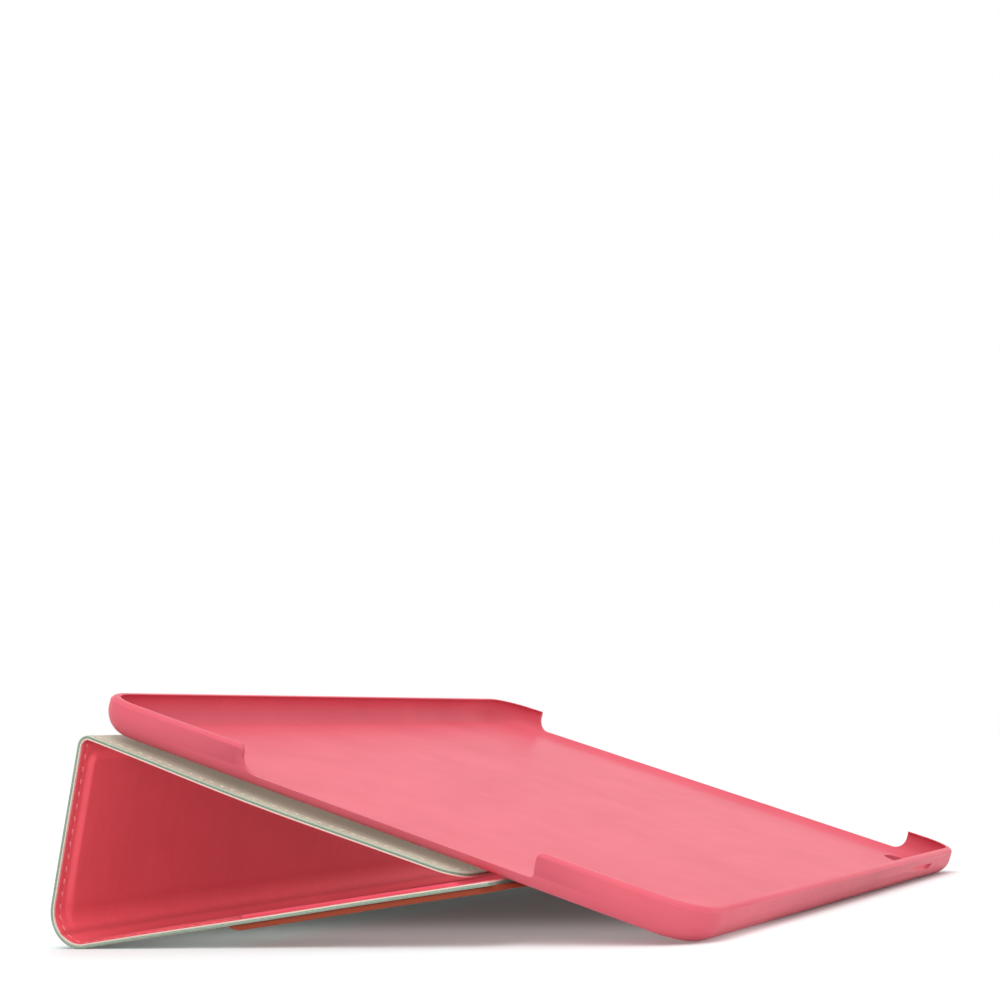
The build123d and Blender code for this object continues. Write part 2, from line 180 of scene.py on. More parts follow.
# board: start, end, thickness, length of the soft shoulder before and after it
boards = [(stop_b + 5.0, back_l - 5.0, back_board_t, 4.5, 5.0),
          (S2 + 3.0, S3 - 4.0, board_t, 12.5, 2.6),
          (S4 + 5.0, S5 - 9.0, board_t, 2.6, 2.6)]
side_slope = 2.0
reach = 0.5                 # the shoulders reach full height this far outside the board


def rise(s, x):
    """How far the lining is lifted by a board, mm, with soft shoulders outside the board."""
    out = 0.0
    ax = abs(x)
    for a, b, thick, lo, hi in boards:
        e = min((s - (a - reach - lo)) / lo, ((b + reach + hi) - s) / hi)
        f = ((cover_h - board_inset + reach + side_slope) - ax) / side_slope
        if e <= 0 or f <= 0:
            continue
        r = 0.6
        if e < 1 + r and f < 1 + r and min(lo, hi) < 4:
            g = 1 + r - math.hypot(1 + r - e, 1 + r - f)
        else:
            g = min(e, f)
        out = max(out, thick * float(step(g)))
    return out


def seam(s, x):
    """How near a point is to a seam: 1 on it, 0 from 1 mm away."""
    h = half_width(s)
    d = abs((h - abs(x)) - seam_inset)
    if s > S5 - 30:
        # seam of the free edge, and none of the side seams past it
        de = abs((S5 - s) - seam_inset)
        if S5 - s < seam_inset:
            d = 9.0
        if abs(x) < cover_h - seam_inset:
            d = min(d, de)
    if s < stop_b + 2:
        return 0.0
    return float(math.exp(-(d / 0.42) ** 2))


def drift(s, x):
    """Slow unevenness of a hand-folded sheet, mm."""
    return (0.10 * math.sin(x * 0.031 + 0.7) * math.sin(s * 0.043 + 0.4)
            + 0.05 * math.sin(x * 0.083 + 2.1) * math.sin(s * 0.097 + 1.3))


def x_samples(h):
    near = [0.35, 0.7, 1.1, 1.45, 1.7, 1.9, 2.1, 2.25, 2.4, 2.55, 2.7, 2.9, 3.1, 3.4, 3.7, 4.0,
            4.3, 4.6, 4.9, 5.2, 5.5, 5.8, 6.1, 6.6, 8.0, 11.0, 15.0, 20.0]
    xs = [-h + d for d in near]
    xs += list(np.linspace(-h + 27, h - 27, 25))
    xs += [h - d for d in reversed(near)]
    return xs


def s_samples(a, b, extra=()):
    marks = {a, b}
    marks.update(x for x in extra if a < x < b)

    def span(u, v, d):
        u, v = max(u, a), min(v, b)
        if v > u:
            n = max(1, int(math.ceil((v - u) / d)))
            marks.update(np.linspace(u, v, n + 1))
    span(S1 - 3, S2 + 3, 0.5)
    span((S1 + S2) / 2 - 1.6, (S1 + S2) / 2 + 1.6, 0.2)
    span(S3 - 3, S4 + 3, 0.28)
    for p, q, thick, lo, hi in boards:
        span(p - lo - 0.4, p + 0.4, 0.4)
        span(q - 0.4, q + hi + 0.4, 0.36)
    span(S5 - 7.5, b, 0.25)
    span(a, b, 4.5)
    out = []
    for m in sorted(marks):
        if not out or m - out[-1] > 0.08:
            out.append(m)
    out[-1] = b
    return out


def mesh_object(name, verts, faces, mats, face_mats=None, attr=None, smooth=True, sharp=None):
    me = bpy.data.meshes.new(name)
    me.from_pydata([tuple(float(c) for c in v) for v in verts], [], faces)
    me.validate(clean_customdata=False)
    for m in mats:
        me.materials.append(m)
    if face_mats is not None:
        me.polygons.foreach_set("material_index", np.array(face_mats, np.int32))
    if attr is not None:
        at = me.attributes.new("rest_pos", "FLOAT_VECTOR", "POINT")
        at.data.foreach_set("vector", np.array(attr, np.float32).ravel())
    if smooth:
        me.polygons.foreach_set("use_smooth", [True] * len(me.polygons))
        if sharp:
            me.set_sharp_from_angle(angle=math.radians(sharp))
    me.update()
    ob = bpy.data.objects.new(name, me)
    scene.collection.objects.link(ob)
    return ob


def layer(name, a, b, off_a, off_b, mats, face_side=0, edge_side=0, rnd=0.12, open_start=False,
          round_end=False, half=half_width, inset=0.0, both=None):
    """A layer of the cover between path lengths a and b.
    off_a(s, x), off_b(s, x) are the depths of its outer and inner faces.  mats[face_side]
    goes on the flat faces and mats[edge_side] on the cut edges."""
    ss = s_samples(a, b)
    trims = [0.0] * len(ss)
    if round_end:
        ss = [s for s in ss if s < b - rnd - 0.05]
        trims = [0.0] * len(ss)
        for k in range(4):
            t = math.radians(90 * k / 3)
            ss.append(b - rnd + rnd * math.sin(t))
            trims.append(rnd * (1 - math.cos(t)))
    verts, attr, faces, fm = [], [], [], []
    arc = [math.radians(d) for d in (0, 30, 60, 90)]
    n_ring = None
    for s, trim in zip(ss, trims):
        p, n = section(s)
        h = half(s) - (inset(s) if callable(inset) else inset) - trim
        xs = x_samples(h)
        ring = []

        def put(x, off):
            o = off + drift(s, x)
            q = p + n * o
            ring.append((x * MM, q[0] * MM, q[1] * MM))
            attr.append((x * MM, s * MM, off * MM))

        x0 = -h
        # left edge, from the inner face round to the outer face
        for t in arc:
            put(x0 + rnd - rnd * math.sin(t), off_b(s, x0) - trim - rnd + rnd * math.cos(t))
        for t in reversed(arc):
            put(x0 + rnd - rnd * math.sin(t), off_a(s, x0) + trim + rnd - rnd * math.cos(t))
        edge_n = len(ring)
        for x in xs:
            put(x, off_a(s, x) + trim)
        top_n = len(ring)
        for t in arc:
            put(h - rnd + rnd * math.sin(t), off_a(s, h) + trim + rnd - rnd * math.cos(t))
        for t in reversed(arc):
            put(h - rnd + rnd * math.sin(t), off_b(s, h) - trim - rnd + rnd * math.cos(t))
        edge2_n = len(ring)
        for x in reversed(xs):
            put(x, off_b(s, x) - trim)
        n_ring = len(ring)
        verts += ring
    nr = n_ring
    for i in range(len(ss) - 1):
        for j in range(nr):
            k = (j + 1) % nr
            faces.append((i * nr + j, i * nr + k, (i + 1) * nr + k, (i + 1) * nr + j))
            is_edge = (1 <= j < edge_n - 3) or (top_n + 2 <= j < edge2_n - 2)
            fm.append(edge_side if is_edge else face_side)
    # caps: bridge the outer run to the inner run
    outer_run = list(range(4, top_n + 4))
    inner_run = [3, 2, 1, 0] + list(range(nr - 1, edge2_n - 5, -1))
    m = min(len(outer_run), len(inner_run))
    for base, flip in ((0, False), ((len(ss) - 1) * nr, True)):
        for q in range(m - 1):
            f = (base + outer_run[q], base + outer_run[q + 1], base + inner_run[q + 1], base + inner_run[q])
            if len(set(f)) < 4:
                continue
            faces.append(f if not flip else tuple(reversed(f)))
            fm.append(edge_side)
    return mesh_object(name, verts, faces, mats, fm, attr, True, 38)


# ------------------------------------------------------------------ materials
def lin(r, g, b):
    def f(c):
        c /= 255.0
        return c / 12.92 if c <= 0.04045 else ((c + 0.055) / 1.055) ** 2.4
    return (f(r), f(g), f(b), 1.0)


class Mat:
    """Small helper that lays out a node material."""

    def __init__(self, name):
        self.m = bpy.data.materials.new(name)
        self.m.use_nodes = True
        self.t = self.m.node_tree
        self.t.nodes.clear()
        self.out = self.t.nodes.new("ShaderNodeOutputMaterial")
        self.p = self.t.nodes.new("ShaderNodeBsdfPrincipled")
        self.link(self.p.outputs[0], self.out.inputs[0])

    def link(self, a, b):
        self.t.links.new(a, b)

    def node(self, kind, **values):
        n = self.t.nodes.new(kind)
        for k, v in values.items():
            if hasattr(n, k):
                setattr(n, k, v)
            else:
                n.inputs[k.replace("_", " ")].default_value = v
        return n

    def set(self, **values):
        for k, v in values.items():
            self.p.inputs[k.replace("_", " ")].default_value = v
        return self

    def coords(self, attribute="rest_pos"):
        if attribute:
            n = self.node("ShaderNodeAttribute")
            n.attribute_name = attribute
            return n.outputs["Vector"]
        n = self.node("ShaderNodeTexCoord")
        return n.outputs["Object"]

    def noise(self, vec, scale, detail=4.0, rough=0.55):
        n = self.node("ShaderNodeTexNoise", Scale=scale, Detail=detail, Roughness=rough)
        self.link(vec, n.inputs["Vector"])
        return n.outputs["Fac"]

    def voronoi(self, vec, scale, feature="F1", out="Distance"):
        n = self.node("ShaderNodeTexVoronoi", Scale=scale)
        n.feature = feature
        self.link(vec, n.inputs["Vector"])
        return n.outputs[out]

    def ramp(self, fac, stops):
        n = self.node("ShaderNodeValToRGB")
        e = n.color_ramp.elements
        while len(e) < len(stops):
            e.new(0.5)
        for i, (pos, col) in enumerate(stops):
            e[i].position = pos
            e[i].color = col
        self.link(fac, n.inputs["Fac"])
        return n.outputs["Color"]

    def math(self, op, a, b=None, clamp=False):
        n = self.node("ShaderNodeMath")
        n.operation = op
        n.use_clamp = clamp
        for i, v in enumerate((a, b)):
            if v is None:
                continue
            if isinstance(v, (int, float)):
                n.inputs[i].default_value = v
            else:
                self.link(v, n.inputs[i])
        return n.outputs[0]

    def stretch(self, vec, sx, sy, sz):
        n = self.node("ShaderNodeVectorMath")
        n.operation = "MULTIPLY"
        self.link(vec, n.inputs[0])
        n.inputs[1].default_value = (sx, sy, sz)
        return n.outputs[0]

    def bump(self, height, strength, distance, normal=None):
        n = self.node("ShaderNodeBump", Strength=strength, Distance=distance)
        self.link(height, n.inputs["Height"])
        if normal is not None:
            self.link(normal, n.inputs["Normal"])
        return n.outputs["Normal"]

    def tint(self, fac, dark, light, lo=0.3, hi=0.7):
        self.link(self.ramp(fac, [(lo, dark), (hi, light)]), self.p.inputs["Base Color"])

    def rough(self, fac, lo, hi):
        n = self.node("ShaderNodeMapRange")
        self.link(fac, n.inputs["Value"])
        n.inputs["To Min"].default_value = lo
        n.inputs["To Max"].default_value = hi
        self.link(n.outputs["Result"], self.p.inputs["Roughness"])

    def normal(self, n):
        self.link(n, self.p.inputs["Normal"])
        return self.m


def plastic(name, dark, light, rough=(0.30, 0.38)):
    k = Mat(name)
    v = k.coords(None)
    slow = k.noise(v, 35.0, 3.0)
    fine = k.noise(v, 2600.0, 2.0)
    k.tint(slow, dark, light)
    k.rough(k.noise(v, 160.0, 4.0), *rough)
    k.set(Specular_IOR_Level=0.04, IOR=1.45)
    b = k.bump(fine, 0.10, 0.00006)
    b = k.bump(k.noise(v, 90.0, 2.0), 0.12, 0.0002, b)
    return k.normal(b)


mat_shell = plastic("coral_plastic", lin(211, 94, 108), lin(219, 101, 115))
mat_plate = plastic("coral_plate", lin(176, 62, 76), lin(184, 68, 82), (0.4, 0.5))


def coated_fabric(name, dark, light, grain, rough=(0.5, 0.66), sheen=0.12):
    k = Mat(name)
    v = k.coords()
    cells = k.voronoi(v, grain)
    crease = k.noise(v, grain * 0.45, 6.0, 0.62)
    slow = k.noise(v, 26.0, 4.0)
    mixv = k.math("ADD", k.math("MULTIPLY", slow, 0.7), k.math("MULTIPLY", crease, 0.3))
    k.tint(mixv, dark, light, 0.35, 0.65)
    k.rough(crease, *rough)
    k.set(Specular_IOR_Level=0.4, Sheen_Weight=sheen, Sheen_Roughness=0.45)
    b = k.bump(cells, 0.35, 0.00012)
    b = k.bump(crease, 0.35, 0.00015, b)
    return k.normal(b)


mat_skin = coated_fabric("warm_grey_skin", lin(149, 148, 130), lin(161, 159, 141), 1500.0)
mat_band = coated_fabric("rust_band", lin(146, 56, 36), lin(163, 67, 45), 1300.0, (0.42, 0.56), 0.05)


def cut_edge(name, dark, light):
    k = Mat(name)
    v = k.coords()
    fib = k.noise(k.stretch(v, 1.0, 1.0, 3.0), 2200.0, 5.0, 0.7)
    k.tint(fib, dark, light, 0.3, 0.72)
    k.set(Roughness=0.85, Specular_IOR_Level=0.2)
    return k.normal(k.bump(fib, 0.5, 0.0002))


mat_skin_edge = cut_edge("skin_cut_edge", lin(98, 116, 102), lin(148, 162, 146))
mat_inter = cut_edge("cream_interliner", lin(216, 192, 180), lin(236, 216, 204))
mat_band_edge = cut_edge("band_cut_edge", lin(140, 58, 38), lin(160, 72, 50))


def microfibre(name, dark, light, crease_s):
    k = Mat(name)
    v = k.coords()
    nap = k.noise(k.stretch(v, 1.0, 0.45, 1.0), 3400.0, 4.0, 0.6)
    cloud = k.noise(v, 38.0, 5.0, 0.6)
    brushed = k.noise(k.stretch(v, 1.0, 0.12, 1.0), 420.0, 3.0, 0.5)
    mixv = k.math("ADD", k.math("MULTIPLY", cloud, 0.55),
                  k.math("ADD", k.math("MULTIPLY", nap, 0.25), k.math("MULTIPLY", brushed, 0.2)))
    cloth = k.ramp(mixv, [(0.36, dark), (0.64, light)])
    sep = k.node("ShaderNodeSeparateXYZ")
    k.link(v, sep.inputs[0])
    # painted shade: the lining colour is multiplied darker within about 1.7 mm of the spine's crease line at crease_s,
    # standing in for the shade in the fold
    wob = k.math("MULTIPLY", k.math("SUBTRACT", k.noise(v, 120.0, 3.0), 0.5), 0.0005)
    off = k.math("ABSOLUTE", k.math("SUBTRACT", k.math("ADD", sep.outputs[1], wob), crease_s * MM))
    crease_shade = k.ramp(k.math("MULTIPLY", off, 600.0), [(0.05, (0.80, 0.78, 0.78, 1)), (1.0, (1, 1, 1, 1))])
    mul = k.node("ShaderNodeMix")
    mul.data_type = "RGBA"
    mul.blend_type = "MULTIPLY"
    mul.inputs["Factor"].default_value = 1.0
    k.link(cloth, mul.inputs[6])
    k.link(crease_shade, mul.inputs[7])
    k.link(mul.outputs[2], k.p.inputs["Base Color"])
    k.set(Roughness=0.6, Specular_IOR_Level=0.3, Sheen_Weight=0.06, Sheen_Roughness=0.4,
          Sheen_Tint=(1.0, 0.6, 0.64, 1.0))
    b = k.bump(nap, 0.30, 0.00010)
    b = k.bump(brushed, 0.10, 0.00010, b)
    return k.normal(b)


mat_lining = microfibre("coral_microfibre", (0.43, 0.042, 0.056, 1.0), (0.49, 0.052, 0.068, 1.0), (S1 + S2) / 2)


def thread(name, dark, light):
    k = Mat(name)
    v = k.coords()
    w = k.node("ShaderNodeTexWave", Scale=1400.0, Distortion=1.2, Detail=2.0)
    w.bands_direction = "DIAGONAL"
    k.link(v, w.inputs["Vector"])
    k.tint(w.outputs["Fac"], dark, light, 0.2, 0.8)
    k.set(Roughness=0.6, Specular_IOR_Level=0.35, Sheen_Weight=0.2, Sheen_Roughness=0.4)
    return k.normal(k.bump(w.outputs["Fac"], 0.6, 0.0001))


mat_thread = thread("pink_thread", lin(174, 74, 84), lin(197, 100, 108))
# needle-hole colour, darker than the lining: painted shade of the holes
mat_hole_shade = thread("needle_hole_shade", lin(140, 34, 44), lin(156, 44, 54))
mat_thread_out = thread("grey_thread", lin(160, 154, 138), lin(190, 184, 166))


def plain_inner(name, dark, light, scale, rough, metallic=0.0):
    k = Mat(name)
    v = k.coords(None)
    n = k.noise(v, scale, 5.0, 0.65)
    k.tint(n, dark, light, 0.35, 0.65)
    k.set(Roughness=rough, Metallic=metallic)
    return k.normal(k.bump(n, 0.3, 0.0001))


mat_board = plain_inner("grey_fibre_board", lin(150, 140, 122), lin(172, 162, 144), 900.0, 0.85)
mat_tape = plain_inner("adhesive_film", lin(222, 220, 210), lin(236, 234, 226), 300.0, 0.35)
mat_magnet = plain_inner("nickel_plate", lin(186, 186, 188), lin(206, 206, 208), 500.0, 0.28, 1.0)

# ------------------------------------------------------------------ cover sheet
M1 = (S1 + S2) / 2          # the pieces meet in the middle of the spine and of the riser
M2 = (S2 + S3) / 2


def blend_back_spine(ob):
    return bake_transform(ob)


def blend_spine_riser(ob):
    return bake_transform(ob)


def blend_riser_flap(ob):
    d = (flap_start - riser_end)
    d = d / np.linalg.norm(d)
    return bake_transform(ob)


spans = [("back", sheet_start, M1, blend_back_spine, False),
         ("riser", M1, M2, blend_spine_riser, False),
         ("flap", M2, S5, blend_riser_flap, True)]

skin_nodes = {"back": ["back_skin"], "riser": ["spine_skin"], "flap": ["riser_skin", "flap_skin"]}
inter_nodes = {"back": ["back_interliner"], "riser": ["spine_interliner"],
               "flap": ["riser_interliner", "flap_interliner"]}
lining_nodes = {"back": ["back_lining"], "riser": ["spine_lining"],
                "flap": ["riser_lining", "flap_lining"]}
stitch_nodes = {"back": ["back_stitching"], "riser": ["spine_stitching"],
                "flap": ["riser_stitching", "flap_stitching"]}


def skin_out(s, x):
    return 0.06 * seam(s, x)


def skin_in(s, x):
    return skin_t


def inter_out(s, x):
    return skin_t


def crease(s):
    return 0.16 * math.exp(-((s - M1) / 0.9) ** 2)


def inter_in(s, x):
    return skin_t + inter_t - crease(s)


def lining_out(s, x):
    return skin_t + inter_t + rise(s, x) - crease(s)


def lining_in(s, x):
    return sheet_t + 0.08 + rise(s, x) - 0.13 * seam(s, x) - 1.5 * crease(s)


def lining_inset(s):
    return 0.55


for tag, a, b, joiner, last in spans:
    ob = layer(f"{tag}_outer_skin", a, b, skin_out, skin_in, [mat_skin, mat_skin_edge], 0, 1, 0.30, round_end=last)
    joiner(ob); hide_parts(*skin_nodes[tag])
    ob = layer(f"{tag}_cream_interliner", a, b, inter_out, inter_in, [mat_inter], 0, 0, 0.10, round_end=last, inset=0.05)
    joiner(ob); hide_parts(*inter_nodes[tag])
    ob = layer(f"{tag}_inner_lining", a, b, lining_out, lining_in, [mat_lining], 0, 0, 0.07, round_end=last, inset=lining_inset)
    joiner(ob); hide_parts(*lining_nodes[tag])


# ------------------------------------------------------------------ stitching
def stitch_set(name, items, mats, radius, half_len, holes=False):
    """One short thread per item, dipping into the sheet at both ends."""
    verts, faces, attr, fm = [], [], [], []
    rings, sides = 9, 8
    for place in items:
        base = len(verts)
        us = [-1 + 2 * i / (rings - 1) for i in range(rings)]
        for u in us:
            rad = max(radius * (1 - abs(u) ** 3.0) ** 0.5, 0.06)
            for j in range(sides):
                t = 2 * math.pi * j / sides
                a, up = rad * math.cos(t), rad * math.sin(t) * 0.8
                lift = 0.20 * (1 - u * u) - 0.14
                verts.append(place(u * half_len, a + 0.16 * u, up + lift))
                attr.append((a * MM, (u * half_len) * MM, up * MM))
        for i in range(rings - 1):
            for j in range(sides):
                k = (j + 1) % sides
                faces.append((base + i * sides + j, base + i * sides + k,
                              base + (i + 1) * sides + k, base + (i + 1) * sides + j))
                fm.append(0)
        faces.append(tuple(base + j for j in reversed(range(sides))))
        faces.append(tuple(base + (rings - 1) * sides + j for j in range(sides)))
        fm += [0, 0]
        if holes:
            # small dimple at each end of the stitch, given the dark needle-hole colour as painted shade inside the
            # hole
            for end in (-1, 1):
                c = len(verts)
                for up, rr in ((-0.06, 0.22), (0.03, 0.18)):
                    for j in range(sides):
                        t = 2 * math.pi * j / sides
                        verts.append(place(end * (half_len + 0.16) + rr * math.cos(t), rr * 0.8 * math.sin(t) + 0.16 * end, up))
                        attr.append((rr * math.cos(t) * MM, rr * math.sin(t) * MM, up * MM))
                for j in range(sides):
                    k = (j + 1) % sides
                    faces.append((c + j, c + k, c + sides + k, c + sides + j))
                    fm.append(1)
                faces.append(tuple(c + j for j in reversed(range(sides))))
                faces.append(tuple(c + sides + j for j in range(sides)))
                fm += [1, 1]
    return mesh_object(name, verts, faces, mats, fm, attr)


def stitch_at(x0, s0, dx, ds, inner):
    """Stitch centred on (x0, s0) of the flat sheet, running along (dx, ds)."""
    side = 1 if x0 > 0 else -1

    def place(u, across, up):
        x, s = x0 + dx * u + side * ds * across, s0 + ds * u - side * dx * across
        p, n = section(s)
        if inner:
            off = lining_in(s0, x0) + up + drift(s, x)
        else:
            off = skin_out(s0, x0) - up + drift(s, x)
        q = p + n * off
        return (x * MM, q[0] * MM, q[1] * MM)
    return place


pitch = 3.24
side_x = cover_h - seam_inset
first = stop_b + 2.2
turn_r = flap_corner - seam_inset            # the seam follows the flap's round corners
turn_s = S5 - flap_corner
turn_x = cover_h - flap_corner
line_l = turn_s - first
turn_l = turn_r * math.pi / 2
half_l = line_l + turn_l + turn_x


def seam_point(t, side):
    """Point and direction of the seam at length t, from the stop plate to the flap's middle."""
    if t < line_l:
        return side * side_x, first + t, 0.0, 1.0
    if t < line_l + turn_l:
        a = (t - line_l) / turn_r
        return (side * (turn_x + turn_r * math.cos(a)), turn_s + turn_r * math.sin(a),
                -side * math.sin(a), math.cos(a))
    return side * (turn_x - (t - line_l - turn_l)), S5 - seam_inset, -side * 1.0, 0.0


count = int(half_l / pitch)
for tag, a, b, joiner, last in spans:
    items, outs = [], []
    for side in (-1, 1):
        for i in range(count):
            x0, s0, dx, ds = seam_point((i + 0.5) * pitch, side)
            if a <= s0 < b:
                items.append(stitch_at(x0, s0, dx, ds, True))
                outs.append(stitch_at(x0, s0, dx, ds, False))
    ob = stitch_set(f"{tag}_inner_stitches", items, [mat_thread, mat_hole_shade], 0.27, 0.98, True)
    joiner(ob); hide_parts(*stitch_nodes[tag])
    ob = stitch_set(f"{tag}_outer_stitches", outs, [mat_thread_out], 0.22, 0.98)
    joiner(ob)


# ------------------------------------------------------------------ stop plate
def slab(name, a, b, hw, base, top, rnd, mats, corner=2.5, joiner=None):
    """Moulded plate on the back panel, with a soft top edge and rounded corners."""
    outline = []
    n = 8
    for cx, cy, a0 in ((hw - corner, b - corner, 0), (-hw + corner, b - corner, 90),
                       (-hw + corner, a + corner, 180), (hw - corner, a + corner, 270)):
        for i in range(n + 1):
            t = math.radians(a0 + 90 * i / n)
            outline.append((cx, cy, math.cos(t), math.sin(t)))
    foot = 0.3
    levels = [(0.0, 0.0), (0.0, foot)]
    for i in range(1, 7):
        t = math.radians(90 * i / 6)
        levels.append((rnd * (1 - math.cos(t)), foot + (top - base - foot) * math.sin(t)))
    verts, attr, faces = [], [], []
    for ins, up in levels:
        for cx, cy, nx, ny in outline:
            x, s = cx + nx * (corner - ins), cy + ny * (corner - ins)
            p, nn = section(s)
            q = p + nn * (base + up + drift(s, x))
            verts.append((x * MM, q[0] * MM, q[1] * MM))
            attr.append((x * MM, s * MM, up * MM))
    m = len(outline)
    for i in range(len(levels) - 1):
        for j in range(m):
            k = (j + 1) % m
            faces.append((i * m + j, i * m + k, (i + 1) * m + k, (i + 1) * m + j))
    faces.append(tuple(reversed(range(m))))
    faces.append(tuple((len(levels) - 1) * m + j for j in range(m)))
    return mesh_object(name, verts, faces, mats, None, attr, True, 40)


ob = slab("stop_plate_moulding", stop_a, stop_b, cover_h - 1.2, sheet_t, sheet_t + 0.9, 0.7, [mat_plate])
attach(ob, "back_panel"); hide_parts("stop_plate")


# ------------------------------------------------------------------ hinge band
# one strip: outside of the back panel, skived fold at the hinge line, tail under the tray
def band_path():
    """Centre line (y, z), thickness and normal of each station, from the band's rear end to the tail's end."""
    pts = []
    d = np.array((cb, -sb)); n = np.array((sb, cb))
    end_r = 3.5                          # long rounding of the rear lower corner
    rear = [band_end - end_r * (1 - math.cos(math.radians(t))) for t in (0, 14, 26, 38, 50, 62, 76, 90)]
    for y in rear + list(np.linspace(band_end - 6, 6.0, 14)) + [4.5, 3.4, 2.6, 1.8, 1.2]:
        if y < 3.4:
            thick = 0.75 + (band_t - 0.75) * max(0.0, (y + 0.3) / 3.7)
            mid = -band_t / 2
        else:
            u = min(1.0, max(0.0, 1 - (band_end - y) / end_r))
            thick = max(0.24, band_t * math.sqrt(max(0.0, 1 - u * u)))
            mid = -thick / 2
        pts.append((back_o + d * y + n * mid, thick, n))
    # bend to the tail
    tail_n = np.array((-sa, ca))
    tail_d = np.array((-ca, -sa))
    a0 = math.atan2(n[1], n[0]); a1 = math.atan2(tail_n[1], tail_n[0])
    t_mid = hinge
    for v in (1.2, 2.4, 3.6, 5.0, 8.0, 14.0, 20.0, 25.0, 27.2, 27.6):
        pts.append((t_mid + tail_d * v, 0.78, tail_n))
    return pts


def band_mesh(name):
    raw = band_path()
    # soften the corner at the hinge
    c = np.array([r[0] for r in raw]); th = np.array([r[1] for r in raw]); nn = np.array([r[2] for r in raw])
    k = 27
    for _ in range(3):
        for i in range(k - 2, k + 3):
            if 0 < i < len(c) - 1:
                c[i] = 0.5 * c[i] + 0.25 * (c[i - 1] + c[i + 1])
                nn[i] = 0.5 * nn[i] + 0.25 * (nn[i - 1] + nn[i + 1])
    nn /= np.linalg.norm(nn, axis=1)[:, None]
    verts, attr, faces, fm = [], [], [], []
    run = 0.0
    rnd = 0.35
    arc = [math.radians(d) for d in (0, 30, 60, 90)]
    nr = None
    for i in range(len(c)):
        if i:
            run += float(np.linalg.norm(c[i] - c[i - 1]))
        t = th[i]
        f = min(1.0, max(0.0, (run - band_end + 6.0) / 9.0))
        f = f * f * (3 - 2 * f)
        hx = (cover_h - 0.5) * (1 - f) + 108.0 * f
        r = min(rnd, t * 0.32)
        ring = []

        def put(x, off):
            q = c[i] + nn[i] * off
            dr = 0.0 if run > band_end - 4 else drift(max(0.0, band_end - run), x)
            q = q + nn[i] * dr
            ring.append((x * MM, q[0] * MM, q[1] * MM))
            attr.append((x * MM, run * MM, off * MM))
        for a in arc:
            put(-hx + r - r * math.sin(a), t / 2 - r + r * math.cos(a))
        for a in reversed(arc):
            put(-hx + r - r * math.sin(a), -t / 2 + r - r * math.cos(a))
        en = len(ring)
        xs = [-hx + q for q in (1.0, 2.0, 3.5, 6.0)] + list(np.linspace(-hx + 12, hx - 12, 30)) + [hx - q for q in (6.0, 3.5, 2.0, 1.0)]
        for x in xs:
            put(x, -t / 2)
        tn = len(ring)
        for a in arc:
            put(hx - r + r * math.sin(a), -t / 2 + r - r * math.cos(a))
        for a in reversed(arc):
            put(hx - r + r * math.sin(a), t / 2 - r + r * math.cos(a))
        e2 = len(ring)
        for x in reversed(xs):
            put(x, t / 2)
        nr = len(ring)
        verts += ring
    for i in range(len(c) - 1):
        for j in range(nr):
            k2 = (j + 1) % nr
            faces.append((i * nr + j, i * nr + k2, (i + 1) * nr + k2, (i + 1) * nr + j))
            fm.append(1 if (1 <= j < en - 2 or tn + 1 <= j < e2 - 2) else 0)
    outer_run = list(range(4, tn + 4))
    inner_run = [3, 2, 1, 0] + list(range(nr - 1, e2 - 5, -1))
    for base, flip in ((0, False), ((len(c) - 1) * nr, True)):
        for q in range(min(len(outer_run), len(inner_run)) - 1):
            f = (base + outer_run[q], base + outer_run[q + 1], base + inner_run[q + 1], base + inner_run[q])
            if len(set(f)) < 4:
                continue
            faces.append(f if not flip else tuple(reversed(f)))
            fm.append(1)
    return mesh_object(name, verts, faces, [mat_band, mat_band_edge], fm, attr, True, 38)


ob = band_mesh("rust_hinge_band")
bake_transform(ob)
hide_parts("hinge_band", "anchor_strip")


# ------------------------------------------------------------------ tray shell
def shell_copy():
    src = frame["nodes"]["shell"]
    me = src.data.copy()
    me.name = "tray_shell"
    import bmesh
    bm = bmesh.new()
    bm.from_mesh(me)
    bmesh.ops.remove_doubles(bm, verts=bm.verts, dist=2e-6)
    bmesh.ops.recalc_face_normals(bm, faces=bm.faces)
    bm.to_mesh(me)
    bm.free()
    me.materials.clear()
    me.materials.append(mat_shell)
    me.polygons.foreach_set("use_smooth", [True] * len(me.polygons))
    me.set_sharp_from_angle(angle=math.radians(32))
    me.update()
    ob = bpy.data.objects.new("tray_shell", me)
    scene.collection.objects.link(ob)
    return ob


ob = shell_copy()
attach(ob, "tray"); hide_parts("shell")

